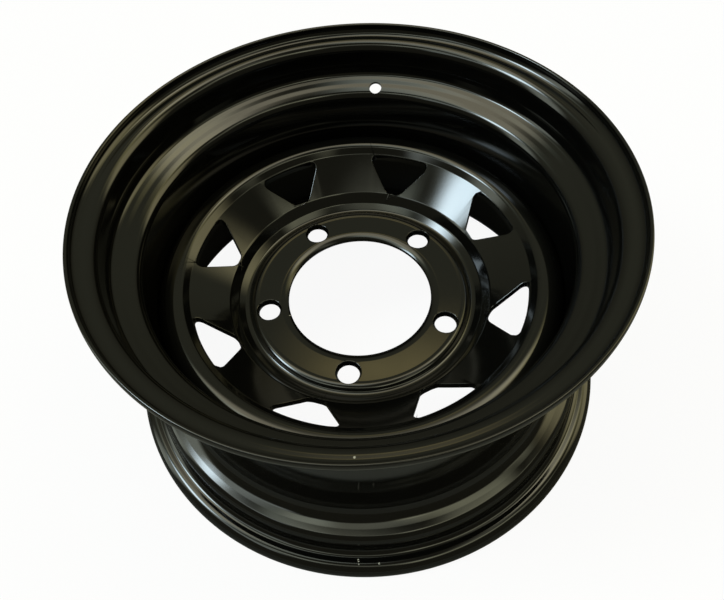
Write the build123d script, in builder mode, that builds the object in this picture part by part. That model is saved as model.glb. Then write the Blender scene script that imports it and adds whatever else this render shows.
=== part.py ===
# Steel wheel rim, 16 inch by 8 J, in millimetres.
# It lies flat on its rear flange, with the wheel axis along Z and the front side up.
import os
from math import asin, cos, degrees, hypot, radians, sin, tan

from build123d import *

# Barrel contour, tyre side
seat_radius = 405.6 / 2
rim_width = 203.2
flange_height = 17.3
flange_width = 13.0
flange_curve = 9.5
heel_radius = 6.5
seat_taper = 5.0
front_seat_length = 18.5
hump_height = 1.3
hump_distance = 22.3
front_slope_top = 31.7
rear_slope_top = 19.0
slope_angle = 66.0
barrel_sheet = 3.0
well_depth = 23.5
seat_bend = 5.0
hump_bend = 6.0
slope_top_bend = 8.0
front_well_bend = 6.0
rear_well_bend = 10.5
lip_rounding = 1.2

# Disc, front surface
disc_sheet = 5.5
mount_behind_middle = 23.0
bore_radius = 64.5
bore_roll_width = 8.0
bore_roll_depth = 2.6
pad_radius = 91.5
pad_bend = 10.0
pad_lip_width = 3.8
pad_lip_height = 0.8
pad_lip_bend = 7.0
groove_width = 5.8
groove_depth = 4.6
groove_bend = 4.5
step_width = 8.2
step_height = 1.1
step_bend = 5.0
step_rise_width = 6.2
cone_inner_height = 8.8
cone_bend = 8.0
crease_height = 31.0
crease_bend = 5.0
crease_ring_width = 6.4
rim_ring_bend = 7.0
shoulder_height = 37.4
shoulder_width = 22.2
shoulder_bend = 17.0
disc_edge_height = 0.9
fit_clearance = 0.1

# Windows, stud holes and valve hole
window_count = 8
window_first_angle = 22.6
window_inner_margin = 1.1
window_outer_margin = 1.0
window_point_reach = 6.5
window_side_angle = 43.3
window_inner_corner_share = 1.385
window_outer_corner_share = 0.16
window_front_rounding = 1.0
window_rear_rounding = 0.4
stud_count = 5
stud_circle_radius = 165.1 / 2
stud_first_angle = 41.9
stud_hole_radius = 9.5
stud_mouth_radius = 11.0
stud_mouth_angle = 60.0
valve_hole_radius = 5.75
valve_rise = 6.2
valve_angle = 78.3

# Weld beads between disc and barrel
bead_count = 8
bead_leg = 5.0
bead_arc = 30.0

outer_radius = seat_radius + flange_height
rounding_path = flange_curve - lip_rounding
lip_turn = degrees(
    asin((flange_width - flange_curve - lip_rounding) / rounding_path) + asin(lip_rounding / rounding_path)
)
total_width = rim_width + 2 * flange_width
middle = total_width / 2
front_wall = middle + rim_width / 2
rear_wall = middle - rim_width / 2
curve_start = outer_radius - flange_curve
well_radius = seat_radius - well_depth
well_inner_radius = well_radius - barrel_sheet
disc_radius = well_inner_radius - fit_clearance
mount_face = middle - mount_behind_middle
pad_face = mount_face + disc_sheet
disc_edge = pad_face + disc_edge_height

# Rings of the disc: the pad side is placed from the pad outward, the rim side from the well inward
pad_lip_radius = pad_radius + pad_lip_width
groove_radius = pad_lip_radius + groove_width
step_radius = groove_radius + step_width
cone_inner_radius = step_radius + step_rise_width
rim_ring_radius = disc_radius - shoulder_width
crease_radius = rim_ring_radius - crease_ring_width
cone_slope = (crease_height - cone_inner_height) / (crease_radius - cone_inner_radius)


# Radius of the tapered bead seat at a distance from its flange wall.
def seat_at(distance):
    return seat_radius - distance * tan(radians(seat_taper))


slope_run = (seat_at(front_slope_top) - well_radius) / tan(radians(slope_angle))

# Plane of the valve hole: on the tyre side of the front slope of the well, square to it
valve_radius = well_radius + valve_rise
valve_height = front_wall - front_slope_top - slope_run + valve_rise / tan(radians(slope_angle))
valve_plane = Plane(
    origin=(valve_radius * cos(radians(valve_angle)), valve_radius * sin(radians(valve_angle)), valve_height),
    z_dir=(
        -cos(radians(slope_angle)) * cos(radians(valve_angle)),
        -cos(radians(slope_angle)) * sin(radians(valve_angle)),
        sin(radians(slope_angle)),
    ),
)

# Outline of one window, pointing along X: a blunt point inward, a curved side outward
window_inner_radius = cone_inner_radius + window_inner_margin
window_outer_radius = crease_radius - window_outer_margin
window_point_radius = window_inner_radius - window_point_reach
window_depth = window_outer_radius - window_inner_radius
window_half = window_outer_radius * tan(radians(window_side_angle))
with BuildSketch() as window:
    with BuildLine():
        Polyline(
            (window_point_radius, 0),
            (window_point_radius + window_outer_radius, window_half),
            (window_point_radius + window_outer_radius, -window_half),
            close=True,
        )
    make_face()
    Circle(window_outer_radius, mode=Mode.INTERSECT)
    Circle(window_inner_radius, mode=Mode.SUBTRACT)
    fillet(window.vertices().group_by(Axis.X)[0], radius=window_inner_corner_share * window_point_reach)
    fillet(window.vertices().group_by(Axis.X)[-1], radius=window_outer_corner_share * window_depth)


# Whether an edge of the cone lies on the front half of the sheet.
def on_front(edge):
    place = edge.center()
    cone_front = pad_face + cone_inner_height + cone_slope * (hypot(place.X, place.Y) - cone_inner_radius)
    return place.Z > cone_front - disc_sheet / 2


# Rim barrel: one rolled hoop with both flanges, both seats and the drop-centre well
with BuildPart() as rim_barrel:
    with BuildSketch(Plane.XZ) as barrel_section:
        with BuildLine() as tyre_side:
            body = FilletPolyline(
                (curve_start, front_wall),
                (seat_radius, front_wall),
                (seat_at(front_seat_length), front_wall - front_seat_length),
                (seat_at(hump_distance) + hump_height, front_wall - hump_distance),
                (seat_at(front_slope_top), front_wall - front_slope_top),
                (well_radius, front_wall - front_slope_top - slope_run),
                (well_radius, rear_wall + rear_slope_top + slope_run),
                (seat_at(rear_slope_top), rear_wall + rear_slope_top),
                (seat_radius, rear_wall),
                (curve_start, rear_wall),
                radius=(
                    heel_radius,
                    seat_bend,
                    hump_bend,
                    slope_top_bend,
                    front_well_bend,
                    rear_well_bend,
                    slope_top_bend,
                    heel_radius,
                ),
            )
            JernArc(start=body @ 0, tangent=(1, 0), radius=flange_curve, arc_size=90 + lip_turn)
            JernArc(start=body @ 1, tangent=(1, 0), radius=flange_curve, arc_size=-90 - lip_turn)
            offset(amount=barrel_sheet, side=Side.RIGHT, closed=True)
        make_face()
        lip_corners = barrel_section.vertices().filter_by(lambda v: v.X > curve_start + 1)
        fillet(lip_corners, radius=lip_rounding)
    revolve(axis=Axis.Z)
    # Valve hole, square to the front slope of the well
    with BuildSketch(valve_plane):
        Circle(valve_hole_radius)
    extrude(amount=2 * barrel_sheet, both=True, mode=Mode.SUBTRACT)

# Wheel disc: one pressed sheet from the bore out to the flange that sits in the well
with BuildPart() as wheel_disc:
    with BuildSketch(Plane.XZ):
        with BuildLine():
            FilletPolyline(
                (bore_radius, pad_face),
                (pad_radius, pad_face),
                (pad_lip_radius, pad_face + pad_lip_height),
                (groove_radius, pad_face - groove_depth),
                (step_radius, pad_face + step_height),
                (cone_inner_radius, pad_face + cone_inner_height),
                (crease_radius, pad_face + crease_height),
                (rim_ring_radius, pad_face + shoulder_height),
                (disc_radius, pad_face + shoulder_height),
                (disc_radius, disc_edge),
                radius=(
                    pad_bend,
                    pad_lip_bend,
                    groove_bend,
                    step_bend,
                    cone_bend,
                    crease_bend,
                    rim_ring_bend,
                    shoulder_bend,
                ),
            )
            offset(amount=disc_sheet, side=Side.RIGHT, closed=True)
        make_face()
    revolve(axis=Axis.Z)
    # Rolled-down front edge of the bore
    with BuildSketch(Plane.XZ):
        with BuildLine():
            roll = TangentArc(
                (bore_radius + bore_roll_width, pad_face),
                (bore_radius, pad_face - bore_roll_depth),
                tangent=(-1, 0),
            )
            Polyline(roll @ 1, (bore_radius, pad_face), roll @ 0)
        make_face()
    revolve(axis=Axis.Z, mode=Mode.SUBTRACT)
    # Windows between the spokes, pierced along the wheel axis and rounded more at the front than at the rear
    for index in range(window_count):
        window_angle = window_first_angle + index * 360 / window_count
        with BuildSketch(Plane.XY.offset(mount_face - disc_sheet).rotated((0, 0, window_angle))):
            add(window.sketch)
        extrude(amount=2 * shoulder_height, mode=Mode.SUBTRACT)
        window_edges = wheel_disc.edges(Select.LAST).filter_by(Axis.Z, reverse=True)
        front_edges = window_edges.filter_by(on_front)
        rear_edges = window_edges.filter_by(on_front, reverse=True)
        fillet(front_edges, radius=window_front_rounding)
        fillet(rear_edges, radius=window_rear_rounding)
    # Stud holes with tapered mouths for the nuts, cut from above the lip of the pad
    with Locations(Plane.XY.offset(pad_face + pad_lip_height)):
        with PolarLocations(stud_circle_radius, stud_count, start_angle=stud_first_angle):
            CounterSinkHole(
                radius=stud_hole_radius,
                counter_sink_radius=stud_mouth_radius + pad_lip_height * tan(radians(stud_mouth_angle / 2)),
                counter_sink_angle=stud_mouth_angle,
            )

# Disc welds: fillet beads between the rear edge of the disc flange and the well
with BuildPart() as bead:
    with BuildSketch(Plane.XZ):
        with BuildLine():
            toe = Line((well_inner_radius, disc_edge), (well_inner_radius, disc_edge - bead_leg))
            face = ThreePointArc(
                toe @ 1,
                (well_inner_radius - 0.6 * bead_leg, disc_edge - 0.6 * bead_leg),
                (well_inner_radius - bead_leg, disc_edge),
            )
            Line(face @ 1, toe @ 0)
        make_face()
    revolve(axis=Axis.Z, revolution_arc=bead_arc)
with BuildPart() as disc_welds:
    with PolarLocations(0, bead_count):
        add(bead.part)

rim_barrel.part.label = "rim_barrel"
wheel_disc.part.label = "wheel_disc"
disc_welds.part.label = "disc_welds"

os.makedirs("parts", exist_ok=True)
export_step(rim_barrel.part, "parts/rim_barrel.step")
export_step(wheel_disc.part, "parts/wheel_disc.step")
export_step(disc_welds.part, "parts/disc_welds.step")
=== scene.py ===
from math import atan2, cos, degrees, pi, radians, sin, tan

import bmesh
import bpy
from mathutils import Matrix, Vector


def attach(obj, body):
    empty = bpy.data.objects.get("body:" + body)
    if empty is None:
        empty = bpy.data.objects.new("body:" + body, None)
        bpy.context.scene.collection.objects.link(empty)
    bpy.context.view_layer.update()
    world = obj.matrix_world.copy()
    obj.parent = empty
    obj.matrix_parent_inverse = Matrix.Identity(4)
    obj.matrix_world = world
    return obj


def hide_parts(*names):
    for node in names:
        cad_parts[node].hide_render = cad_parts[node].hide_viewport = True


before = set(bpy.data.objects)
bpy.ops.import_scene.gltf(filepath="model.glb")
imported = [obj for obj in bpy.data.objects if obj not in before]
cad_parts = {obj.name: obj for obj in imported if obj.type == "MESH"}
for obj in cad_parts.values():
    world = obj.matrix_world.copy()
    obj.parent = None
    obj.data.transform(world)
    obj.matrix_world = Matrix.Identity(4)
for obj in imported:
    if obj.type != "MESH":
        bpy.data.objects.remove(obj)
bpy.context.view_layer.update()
scene = bpy.context.scene
mm = 0.001

# Barrel: heights from the floor and radii of its tyre side
barrel_sheet = 3.0
front_wall = 216.2
rear_wall = 13.0
seat_radius = 202.8
well_radius = 179.3
well_inner_radius = well_radius - barrel_sheet
front_seat_end = (201.18, 197.7)
hump_top = (202.15, 193.9)
front_slope_top = (200.03, 184.5)
front_slope_foot = (well_radius, 175.27)
rear_slope_foot = (well_radius, 41.23)
rear_slope_top = (201.14, 32.0)
heel_bend = 6.5
seat_bend = 5
hump_bend = 6
slope_top_bend = 8
front_well_bend = 6
rear_well_bend = 15
wave_bend = 18

# Flanges: the curl turns a little less than the solid's, because its last chord carries the lip
curve_start = 210.6
flange_curve = 9.5
lip_turn = 113.5
lip_chord = 13
curl_steps = 16
lip_rounding = 1.2

# Disc: heights from the floor and radii of its front face
disc_sheet = 5.5
disc_edge = 98.0
bore_radius = 64.5
bore_roll_depth = 2.6
bore_roll_corner = 68.08
bore_roll_bend = 13.3
pad_face = 97.1
pad_radius = 91.5
pad_lip_corner = (95.3, 97.9)
groove_corner = (101.1, 92.5)
step_corner = (109.3, 98.2)
cone_inner_radius = 115.5
cone_inner_height = 105.9
crease_radius = 147.6
crease_height = 128.1
rim_ring_radius = 154.0
shoulder_height = 134.5
disc_radius = 176.2
pad_bend = 10
pad_lip_bend = 7
groove_bend = 4.5
step_bend = 5
cone_bend = 8
crease_bend = 5
rim_ring_bend = 7
shoulder_bend = 17

# Windows
window_count = 8
window_first_angle = 22.6
window_inner_radius = 116.6
window_outer_radius = 146.6
window_side_angle = 43.3
window_point_radius = 110.1
window_inner_corner = 9.0
window_outer_corner = 4.8
window_front_rounding = 1.0
window_rear_rounding = 0.4
window_cut_height = 75

# Stud holes
stud_count = 5
stud_circle_radius = 82.55
stud_first_angle = 41.9
stud_hole_radius = 9.5
stud_mouth_radius = 11.0
stud_mouth_angle = 60.0
stud_cut_depth = 20
stud_cut_margin = 5

# Valve hole
valve_hole_radius = 5.75
valve_radius = 185.5
valve_angle = 78.3
valve_height = 178.03
valve_cut_depth = 16
valve_rounding = 0.3
slope_angle = 66.0

# Weld beads
bead_count = 8
bead_leg = 5.0
bead_arc = 30.0
bead_waist_share = 0.6
bead_waist_bend = 3
bead_sink = 0.3
bead_steps = 100

# Fineness of the meshes
turn_steps = 300
bend_step_angle = 6
least_bend_steps = 3
edge_steps = 3
hole_sides = 64
sharp_angle = radians(30)
smooth_angle = radians(60)
seam_gap = 2e-6
pick_reach = 1e-5

# Numbers of the sockets of a Mix node, for colours and for vectors
mix_color_a, mix_color_b, mix_color_out = 6, 7, 2
mix_vector_a, mix_vector_b, mix_vector_out = 4, 5, 1


def make_active(piece):
    """Select one piece alone, as the one that the next steps work on."""
    bpy.ops.object.select_all(action="DESELECT")
    piece.select_set(True)
    bpy.context.view_layer.objects.active = piece


def edit(piece):
    """Open a piece for changes to its vertices, edges and faces."""
    make_active(piece)
    bpy.ops.object.mode_set(mode="EDIT")


def leave():
    """Close the edited piece and return it."""
    bpy.ops.object.mode_set(mode="OBJECT")
    return bpy.context.active_object


def pick(piece, places):
    """Select the vertices of the edited piece that lie at the given places."""
    mesh = bmesh.from_edit_mesh(piece.data)
    for vertex in mesh.verts:
        vertex.select = any((vertex.co - place).length < pick_reach for place in places)
    mesh.select_flush_mode()
    bmesh.update_edit_mesh(piece.data)


def face_outward():
    """Turn all faces of the edited piece outward."""
    bpy.ops.mesh.select_all(action="SELECT")
    bpy.ops.mesh.normals_make_consistent(inside=False)


def fill_all():
    """Close the outline that is being edited by one face."""
    bpy.ops.mesh.select_all(action="SELECT")
    bpy.ops.mesh.edge_face_add()


def repeat_round(count):
    """Repeat what is being edited round the wheel axis, up to the given count."""
    bpy.ops.mesh.select_all(action="SELECT")
    bpy.ops.mesh.spin(
        steps=count - 1,
        angle=2 * pi * (count - 1) / count,
        center=(0, 0, 0),
        axis=(0, 0, 1),
        dupli=True,
    )
    face_outward()
    return leave()


def draw_outline(name, corners):
    """Draw a closed chain of straight edges through the corners, then round each corner to its bend.

    A corner is a place and a bend radius; a bend of 0 stays sharp."""
    places = [Vector(place) * mm for place, bend in corners]
    bpy.ops.object.select_all(action="DESELECT")
    bpy.ops.mesh.primitive_plane_add(size=mm, location=places[0])
    bpy.ops.object.transform_apply(location=True, rotation=False, scale=False)
    piece = bpy.context.active_object
    piece.name = name
    bpy.ops.object.mode_set(mode="EDIT")
    bpy.ops.mesh.select_mode(type="VERT")
    bpy.ops.mesh.select_all(action="SELECT")
    bpy.ops.mesh.merge(type="CENTER")
    for start, end in zip(places, places[1:]):
        bpy.ops.mesh.extrude_region_move(TRANSFORM_OT_translate={"value": end - start})
    pick(piece, (places[0], places[-1]))
    bpy.ops.mesh.edge_face_add()
    for index, (place, bend) in enumerate(corners):
        if not bend:
            continue
        before = places[index] - places[index - 1]
        after = places[(index + 1) % len(places)] - places[index]
        turn = before.angle(after)
        pick(piece, (places[index],))
        bpy.ops.mesh.bevel(
            affect="VERTICES",
            offset_type="OFFSET",
            offset=bend * mm * tan(turn / 2),
            segments=max(least_bend_steps, round(degrees(turn) / bend_step_angle)),
            profile=0.5,
            clamp_overlap=False,
        )


def spin_round():
    """Turn the outline that is being edited once round the wheel axis into a closed skin."""
    bpy.ops.mesh.select_all(action="SELECT")
    bpy.ops.mesh.spin(steps=turn_steps, angle=2 * pi, center=(0, 0, 0), axis=(0, 0, 1))
    bpy.ops.mesh.select_all(action="SELECT")
    bpy.ops.mesh.remove_doubles(threshold=seam_gap)
    face_outward()
    return leave()


def other_face(line, distance):
    """The corners of the other face of a bent sheet, from the corners of its front face."""
    points = [Vector((r, z)) for r, z, bend in line]
    steps = [(b - a).normalized() for a, b in zip(points, points[1:])]
    rights = [Vector((step.y, -step.x)) for step in steps]
    result = [(points[0] + rights[0] * distance, 0)]
    for index in range(1, len(points) - 1):
        a, b = rights[index - 1], rights[index]
        mitre = (a + b) / (1 + a.dot(b))
        left_turn = steps[index - 1].cross(steps[index]) > 0
        bend = line[index][2] + (distance if left_turn else -distance)
        result.append((points[index] + mitre * distance, max(bend, 0)))
    result.append((points[-1] + rights[-1] * distance, 0))
    return [(p.x, p.y, bend) for p, bend in result]


def section(line, distance, end_bend=0):
    """Corners of the whole cut through a bent sheet, in the XZ plane, with rounded or sharp ends."""
    front = list(line)
    back = other_face(line, distance)
    for side in (front, back):
        for end in (0, -1):
            r, z, bend = side[end]
            side[end] = (r, z, end_bend)
    return [((r, 0, z), bend) for r, z, bend in front + back[::-1]]


def cut_away(piece, cutter):
    """Take the cutter's solid out of a piece, and remove the cutter."""
    make_active(piece)
    bpy.ops.object.modifier_add(type="BOOLEAN")
    modifier = piece.modifiers[-1]
    modifier.operation = "DIFFERENCE"
    modifier.solver = "EXACT"
    modifier.object = cutter
    bpy.ops.object.modifier_apply(modifier=modifier.name)
    bpy.data.objects.remove(cutter)


def round_edges(piece, rounding, here=None):
    """Round the sharp edges of a piece, all of them or those whose middle passes the test."""
    edit(piece)
    bpy.ops.mesh.select_mode(type="EDGE")
    mesh = bmesh.from_edit_mesh(piece.data)
    for edge in mesh.edges:
        middle = (edge.verts[0].co + edge.verts[1].co) / 2
        sharp = len(edge.link_faces) == 2 and edge.calc_face_angle() > sharp_angle
        edge.select = sharp and (here is None or here(middle))
    mesh.select_flush_mode()
    bmesh.update_edit_mesh(piece.data)
    bpy.ops.mesh.bevel(offset_type="OFFSET", offset=rounding * mm, segments=edge_steps, clamp_overlap=False)
    leave()


def smooth_faces(piece):
    """Shade a piece smoothly, led by its large faces."""
    make_active(piece)
    bpy.ops.object.shade_smooth()
    bpy.ops.object.modifier_add(type="WEIGHTED_NORMAL")
    normals = piece.modifiers[-1]
    normals.weight = 50
    bpy.ops.object.modifier_apply(modifier=normals.name)


def waves(start, end, first, spacing, count, depth):
    """Corners of the shallow waves that rolling left on a straight stretch, measured along it."""
    start, end = Vector(start), Vector(end)
    ahead = (end - start).normalized()
    aside = Vector((ahead.y, -ahead.x))
    corners = []
    for index in range(count):
        place = start + ahead * (first + index * spacing) + aside * depth * (-1) ** index
        corners.append((place.x, place.y, wave_bend))
    return corners


def curl(centre_z, side):
    """Corners of the curl of a flange, from its flat wall to a last chord that carries the lip."""
    angles = [(lip_turn - lip_chord) * part / curl_steps for part in range(curl_steps + 1)] + [lip_turn]
    corners = []
    for angle in angles:
        r = curve_start + flange_curve * sin(radians(angle))
        z = centre_z + side * flange_curve * cos(radians(angle))
        corners.append((r, z, 0))
    return corners


def rim_barrel():
    """The rolled hoop with both flanges, both seats and the well."""
    front_curl = curl(front_wall + flange_curve, -1)
    rear_curl = curl(rear_wall - flange_curve, 1)
    line = [
        *front_curl[:0:-1],
        (curve_start, front_wall, 0),
        (seat_radius, front_wall, heel_bend),
        (*front_seat_end, seat_bend),
        (*hump_top, hump_bend),
        (*front_slope_top, slope_top_bend),
        *waves(front_slope_top, front_slope_foot, first=7.2, spacing=4.0, count=3, depth=0.09),
        (*front_slope_foot, front_well_bend),
        (*rear_slope_foot, rear_well_bend),
        *waves(rear_slope_foot, rear_slope_top, first=14, spacing=0, count=1, depth=0.2),
        (*rear_slope_top, slope_top_bend),
        (seat_radius, rear_wall, heel_bend),
        (curve_start, rear_wall, 0),
        *rear_curl[1:],
    ]
    draw_outline("barrel", section(line, barrel_sheet, lip_rounding))
    return spin_round()


def wheel_disc():
    """The pressed centre, before its holes, with the front edge of the bore rolled down."""
    line = [
        (bore_radius, pad_face, 0),
        (pad_radius, pad_face, pad_bend),
        (*pad_lip_corner, pad_lip_bend),
        (*groove_corner, groove_bend),
        (*step_corner, step_bend),
        (cone_inner_radius, cone_inner_height, cone_bend),
        (crease_radius, crease_height, crease_bend),
        (rim_ring_radius, shoulder_height, rim_ring_bend),
        (disc_radius, shoulder_height, shoulder_bend),
        (disc_radius, disc_edge, 0),
    ]
    corners = section(line, disc_sheet)
    corners[0] = ((bore_radius, 0, pad_face - bore_roll_depth), 0)
    corners.insert(1, ((bore_roll_corner, 0, pad_face), bore_roll_bend))
    draw_outline("disc", corners)
    return spin_round()


def turned(x, y, z, angle):
    """A place turned round the wheel axis by an angle in degrees."""
    a = radians(angle)
    return (x * cos(a) - y * sin(a), x * sin(a) + y * cos(a), z)


def window_cutter():
    """A solid with the outline of one window, repeated round the wheel."""
    side = radians(window_side_angle)
    arc_steps = 8

    def on_side(radius):
        """The place where a straight side of the window, drawn from its point, meets a radius."""
        b = window_point_radius * cos(side)
        run = -b + (b * b - window_point_radius ** 2 + radius ** 2) ** 0.5
        return (window_point_radius + run * cos(side), run * sin(side))

    inner = on_side(window_inner_radius)
    outer = on_side(window_outer_radius)
    reach = degrees(atan2(outer[1], outer[0]))
    # the arc stops short of the outer corners, which leaves room for their bends
    arc_parts = range(2 - arc_steps, arc_steps - 1)
    arc = [turned(window_outer_radius, 0, 0, reach * part / arc_steps) for part in arc_parts]
    low = pad_face - 2 * disc_sheet
    corners = [
        ((inner[0], -inner[1], low), window_inner_corner),
        ((outer[0], -outer[1], low), window_outer_corner),
        *(((x, y, low), 0) for x, y, z in arc),
        ((outer[0], outer[1], low), window_outer_corner),
        ((inner[0], inner[1], low), window_inner_corner),
    ]
    corners = [(turned(*place, window_first_angle), bend) for place, bend in corners]
    draw_outline("window_cutter", corners)
    fill_all()
    bpy.ops.mesh.extrude_region_move(TRANSFORM_OT_translate={"value": (0, 0, window_cut_height * mm)})
    return repeat_round(window_count)


def stud_cutter():
    """A round solid with a tapered mouth for one stud hole, repeated round the wheel."""
    facing_up = 0.9
    x, y, z = turned(stud_circle_radius, 0, 0, stud_first_angle)
    taper = (stud_mouth_radius - stud_hole_radius) / tan(radians(stud_mouth_angle / 2))
    bpy.ops.object.select_all(action="DESELECT")
    bpy.ops.mesh.primitive_cylinder_add(
        vertices=hole_sides,
        radius=stud_hole_radius * mm,
        depth=stud_cut_depth * mm,
        location=(x * mm, y * mm, (pad_face - taper - stud_cut_depth / 2) * mm),
    )
    bpy.ops.object.transform_apply(location=True, rotation=False, scale=False)
    cutter = bpy.context.active_object
    cutter.name = "stud_cutter"
    edit(cutter)
    mesh = bmesh.from_edit_mesh(cutter.data)
    for face in mesh.faces:
        face.select = face.normal.z > facing_up
    bmesh.update_edit_mesh(cutter.data)
    bpy.ops.mesh.select_mode(type="FACE")
    rise = taper + stud_cut_margin
    wide = (stud_hole_radius + (stud_mouth_radius - stud_hole_radius) * (rise / taper)) / stud_hole_radius
    bpy.ops.mesh.extrude_region_move(TRANSFORM_OT_translate={"value": (0, 0, rise * mm)})
    bpy.ops.transform.resize(value=(wide, wide, 1))
    return repeat_round(stud_count)


def valve_cutter():
    """A round solid square to the front slope of the well, for the valve hole."""
    lean = radians(slope_angle)
    around = radians(valve_angle)
    x, y, z = turned(valve_radius, 0, 0, valve_angle)
    direction = Vector((-cos(lean) * cos(around), -cos(lean) * sin(around), sin(lean)))
    bpy.ops.object.select_all(action="DESELECT")
    bpy.ops.mesh.primitive_cylinder_add(
        vertices=hole_sides,
        radius=valve_hole_radius * mm,
        depth=valve_cut_depth * mm,
        location=(x * mm, y * mm, valve_height * mm),
        rotation=direction.to_track_quat("Z", "Y").to_euler(),
    )
    bpy.ops.object.transform_apply(location=True, rotation=True, scale=False)
    return bpy.context.active_object


def on_window_front(place):
    """Whether a place on a window's edge lies on the front face of the cone."""
    least_radius = 110
    most_height = 130
    radius = (place.x ** 2 + place.y ** 2) ** 0.5 / mm
    height = place.z / mm
    rise = crease_height - cone_inner_height
    cone_front = cone_inner_height + (radius - cone_inner_radius) * rise / (crease_radius - cone_inner_radius)
    return radius > least_radius and cone_front - disc_sheet / 2 < height < most_height


def bead_swells():
    """The size of a weld bead at each of its steps: it swells at one end, ripples and tapers off."""
    run_in = (0.7, 0.85, 0.95)
    ripple = (0.93, 1.0, 1.04, 1.0)
    run_out = (0.9, 0.75, 0.55)
    between = range(len(run_in), bead_steps - len(run_out))
    return [*run_in, *(ripple[index % len(ripple)] for index in between), *run_out]


def weld_beads():
    """Fillet beads between the rear edge of the disc and the well, rippled as they were laid."""
    corners = [
        ((well_inner_radius + bead_sink, 0, disc_edge + bead_sink), 0),
        ((well_inner_radius + bead_sink, 0, disc_edge - bead_leg), 0),
        (
            (well_inner_radius - bead_waist_share * bead_leg, 0, disc_edge - bead_waist_share * bead_leg),
            bead_waist_bend,
        ),
        ((well_inner_radius - bead_leg, 0, disc_edge + bead_sink), 0),
    ]
    draw_outline("beads", corners)
    fill_all()
    size = 1.0
    for index, swell in enumerate(bead_swells()):
        angle = radians(bead_arc * (index + 1) / bead_steps)
        bpy.ops.mesh.extrude_region_move()
        bpy.ops.transform.rotate(
            value=-radians(bead_arc / bead_steps), orient_axis="Z", center_override=(0, 0, 0)
        )
        root = (well_inner_radius * mm * cos(angle), well_inner_radius * mm * sin(angle), disc_edge * mm)
        bpy.ops.transform.resize(value=(swell / size,) * 3, center_override=root)
        size = swell
    repeat_round(bead_count)
    bpy.ops.object.shade_smooth_by_angle(angle=smooth_angle)
    return bpy.context.active_object


barrel = rim_barrel()
disc = wheel_disc()
cut_away(disc, window_cutter())
round_edges(disc, window_front_rounding, on_window_front)
cut_away(disc, stud_cutter())
round_edges(disc, window_rear_rounding)
cut_away(barrel, valve_cutter())
round_edges(barrel, valve_rounding)
smooth_faces(disc)
smooth_faces(barrel)
beads = weld_beads()


class Node:
    """A socket of a shader node that takes part in written sums."""

    def __init__(self, nodes, socket):
        self.nodes = nodes
        self.socket = socket

    def sum(self, kind, first, second):
        return self.nodes.add("ShaderNodeMath", {"operation": kind}, {0: first, 1: second})

    def __add__(self, other):
        return self.sum("ADD", self, other)

    def __radd__(self, other):
        return self.sum("ADD", other, self)

    def __mul__(self, other):
        return self.sum("MULTIPLY", self, other)

    def __rmul__(self, other):
        return self.sum("MULTIPLY", other, self)


class Nodes:
    """The node tree of one material or of the world."""

    def __init__(self, tree):
        self.tree = tree
        self.tree.nodes.clear()

    def add(self, kind, settings=None, values=None, out=0):
        """Add a node with its settings and its inputs, and return one of its outputs."""
        node = self.tree.nodes.new(kind)
        for name, value in (settings or {}).items():
            setattr(node, name, value)
        for key, value in (values or {}).items():
            socket = node.inputs[key]
            if isinstance(value, Node):
                self.tree.links.new(value.socket, socket)
            else:
                socket.default_value = value
        return Node(self, node.outputs[out]) if node.outputs else None

    def fade(self, value, none_at, full_at):
        """A soft step from 0 to 1 as a value goes from one limit to the other."""
        values = {"Value": value, "From Min": none_at, "From Max": full_at}
        return self.add("ShaderNodeMapRange", {"interpolation_type": "SMOOTHSTEP"}, values)

    def mix_colors(self, share, first, second):
        """A colour between two, by the share of the second."""
        values = {"Factor": share, mix_color_a: first, mix_color_b: second}
        return self.add("ShaderNodeMix", {"data_type": "RGBA"}, values, out=mix_color_out)


# Small pale chips in the paint, each a place and a size
chips = [
    ((-25.6, -207.6, 13.0), 0.9),
    ((-25.5, -209.2, 13.0), 0.8),
    ((-25.4, -211.4, 12.9), 0.8),
    ((-8.8, -212.3, 12.8), 1.0),
    ((-18.4, -208.9, 219.2), 1.0),
    ((-63.9, -15.9, 95.4), 0.9),
]


def black_paint():
    """Black gloss paint with a faint ripple, a slightly uneven gloss and a few dull, pale chips."""
    paint_color = (0.002, 0.002, 0.0018, 1)
    chip_color = (0.30, 0.29, 0.26, 1)
    least_roughness = 0.05
    cloud_roughness = 0.06
    chip_roughness = 0.4
    fine_share = 0.05
    broad_share = 0.6
    ripple_depth = 0.0001
    material = bpy.data.materials.new("black_paint")
    material.use_nodes = True
    nodes = Nodes(material.node_tree)
    place = nodes.add("ShaderNodeTexCoord", out="Object")
    fine = nodes.add("ShaderNodeTexNoise", {}, {"Vector": place, "Scale": 260.0, "Detail": 2.0})
    broad = nodes.add("ShaderNodeTexNoise", {}, {"Vector": place, "Scale": 22.0, "Detail": 1.0})
    height = fine * fine_share + broad * broad_share
    bump = nodes.add(
        "ShaderNodeBump", {}, {"Height": height, "Strength": 1.0, "Distance": ripple_depth}, out="Normal"
    )
    bare = 0.0
    for (x, y, z), size in chips:
        centre = (x * mm, y * mm, z * mm)
        gap = nodes.add("ShaderNodeVectorMath", {"operation": "DISTANCE"}, {0: place, 1: centre}, out="Value")
        bare = nodes.fade(gap, size * mm, size * mm / 2) + bare
    color = nodes.mix_colors(bare, paint_color, chip_color)
    cloud = nodes.add("ShaderNodeTexNoise", {}, {"Vector": place, "Scale": 40.0, "Detail": 3.0})
    roughness = cloud * cloud_roughness + least_roughness + bare * chip_roughness
    skin = nodes.add(
        "ShaderNodeBsdfPrincipled", {}, {"Base Color": color, "Roughness": roughness, "Normal": bump}
    )
    nodes.add("ShaderNodeOutputMaterial", {}, {"Surface": skin})
    return material


paint = black_paint()
for piece, node in ((barrel, "rim_barrel"), (disc, "wheel_disc"), (beads, "disc_welds")):
    piece.data.materials.clear()
    piece.data.materials.append(paint)
    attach(piece, "root")
    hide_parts(node)


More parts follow.
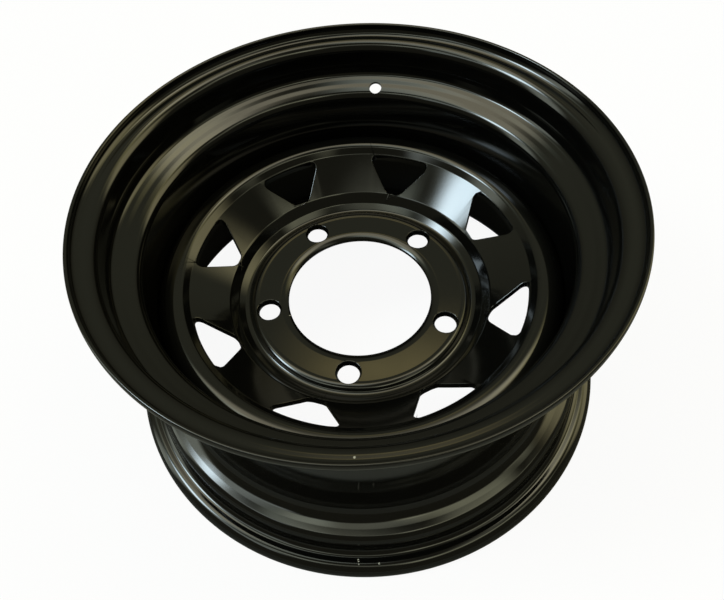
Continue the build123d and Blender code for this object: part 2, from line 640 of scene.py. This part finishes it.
def pale_floor():
    """A floor that is nearly white to the camera and dull in the mirror of the paint."""
    floor_size = 12
    plain_color = (0.8, 0.8, 0.8, 1)
    mirrored_color = (0.2, 0.2, 0.19, 1)
    glow_share = 0.93
    bpy.ops.object.select_all(action="DESELECT")
    bpy.ops.mesh.primitive_plane_add(size=floor_size, location=(0, 0, 0))
    plane = bpy.context.active_object
    plane.name = "floor"
    finish = bpy.data.materials.new("floor")
    finish.use_nodes = True
    nodes = Nodes(finish.node_tree)
    seen = nodes.add("ShaderNodeLightPath", out="Is Camera Ray")
    mirrored = nodes.add("ShaderNodeLightPath", out="Is Glossy Ray")
    grey = nodes.mix_colors(mirrored, plain_color, mirrored_color)
    plain = nodes.add("ShaderNodeBsdfDiffuse", {}, {"Color": grey})
    glow = nodes.add("ShaderNodeEmission", {}, {"Color": (1, 1, 1, 1), "Strength": 1.0})
    both = nodes.add("ShaderNodeMixShader", {}, {0: seen * glow_share, 1: plain, 2: glow})
    nodes.add("ShaderNodeOutputMaterial", {}, {"Surface": both})
    plane.data.materials.append(finish)
    return plane


floor = pale_floor()


def studio(panels, room):
    """Light the world by soft-edged panels in a dim room, and show it white to the camera only.

    A panel is an azimuth, an elevation, a width, a height and a soft border, all in degrees as seen
    from the wheel, and a colour that includes its strength."""
    world = bpy.data.worlds.new("studio")
    world.use_nodes = True
    scene.world = world
    nodes = Nodes(world.node_tree)
    way = nodes.add("ShaderNodeTexCoord", out="Generated")
    light = nodes.add("ShaderNodeCombineXYZ", {}, dict(zip("XYZ", room)))
    for azimuth, elevation, width, height, border, color in panels:
        a, e = radians(azimuth), radians(elevation)
        ahead = (cos(e) * cos(a), cos(e) * sin(a), sin(e))
        across = (-sin(a), cos(a), 0)
        over = (-sin(e) * cos(a), -sin(e) * sin(a), cos(e))
        along = [
            nodes.add("ShaderNodeVectorMath", {"operation": "DOT_PRODUCT"}, {0: way, 1: axis}, out="Value")
            for axis in (ahead, across, over)
        ]
        inside = 1.0
        for offset, size in ((along[1], width), (along[2], height)):
            angle = nodes.add("ShaderNodeMath", {"operation": "ARCTAN2"}, {0: offset, 1: along[0]})
            far = nodes.add("ShaderNodeMath", {"operation": "ABSOLUTE"}, {0: angle})
            outer_edge = radians(size / 2 + border / 2)
            inner_edge = radians(size / 2 - border / 2)
            inside = nodes.fade(far, outer_edge, inner_edge) * inside
        panel = nodes.add("ShaderNodeVectorMath", {"operation": "SCALE"}, {0: color, "Scale": inside})
        light = nodes.add("ShaderNodeVectorMath", {"operation": "ADD"}, {0: light, 1: panel})
    seen = nodes.add("ShaderNodeLightPath", out="Is Camera Ray")
    values = {"Factor": seen, mix_vector_a: light, mix_vector_b: (1, 1, 1)}
    shown = nodes.add("ShaderNodeMix", {"data_type": "VECTOR"}, values, out=mix_vector_out)
    surface = nodes.add("ShaderNodeBackground", {}, {"Color": shown})
    nodes.add("ShaderNodeOutputWorld", {}, {"Surface": surface})


room_color = (0.13, 0.125, 0.085)
light_panels = [
    (177, 50, 13, 12, 8, (14.0, 17.5, 20.0)),
    (-158, 48, 34, 8, 8, (2.4, 2.7, 2.5)),
    (177, 41, 16, 100, 10, (2.0, 2.2, 1.9)),
    (161, 57, 24, 13, 16, (0.9, 1.1, 0.9)),
    (12, 27, 29, 33, 13, (2.38, 2.14, 1.17)),
    (30, 54, 14, 24, 17, (2.0, 1.8, 0.8)),
    (-20, 43, 12, 6, 8, (1.8, 1.8, 1.2)),
    (1, 70, 46, 8, 10, (0.8, 0.8, 0.6)),
    (-105, 60, 40, 7, 8, (1.45, 1.5, 1.15)),
    (-52, 55, 36, 8, 9, (2.6, 2.6, 1.75)),
    (-135, 57, 20, 7, 8, (1.6, 1.8, 1.5)),
    (90, 76, 56, 18, 9, (2.6, 2.4, 1.75)),
    (107, 57, 150, 56, 59, (0.19, 0.20, 0.14)),
    (84, 60, 12, 4, 8, (2.2, 1.8, 0.75)),
]
studio(light_panels, room_color)


def photo_camera():
    """The camera, fitted to the photograph's rims and holes from the front flange's widest circle."""
    image_width = 724
    image_height = 600
    image_centre = (339.8, 264.2)
    focal_pixels = 731.7
    sensor_width = 36.0
    widest_radius = (curve_start + flange_curve) * mm
    widest_height = (front_wall + flange_curve) * mm
    elevation = radians(51.73)
    lean = radians(6.08)
    distance = 2.550 * widest_radius
    offset = (-0.042 * widest_radius, -0.244 * widest_radius)
    back = Vector((0, -cos(elevation), sin(elevation)))
    right = Vector((1, 0, 0))
    level = Matrix((right, back.cross(right), back))
    turn = (Matrix.Rotation(lean, 3, "Z") @ level).transposed()
    place = turn @ Vector((*offset, distance)) + Vector((0, 0, widest_height))
    lens = bpy.data.cameras.new("camera")
    lens.sensor_width = sensor_width
    lens.lens = sensor_width * focal_pixels / image_width
    lens.shift_x = -(image_centre[0] - image_width / 2) / image_width
    lens.shift_y = (image_centre[1] - image_height / 2) / image_width
    lens.clip_start = 0.01
    camera = bpy.data.objects.new("camera", lens)
    scene.collection.objects.link(camera)
    camera.matrix_world = Matrix.Translation(place) @ turn.to_4x4()
    return camera


scene.camera = photo_camera()
scene.view_settings.view_transform = "Standard"
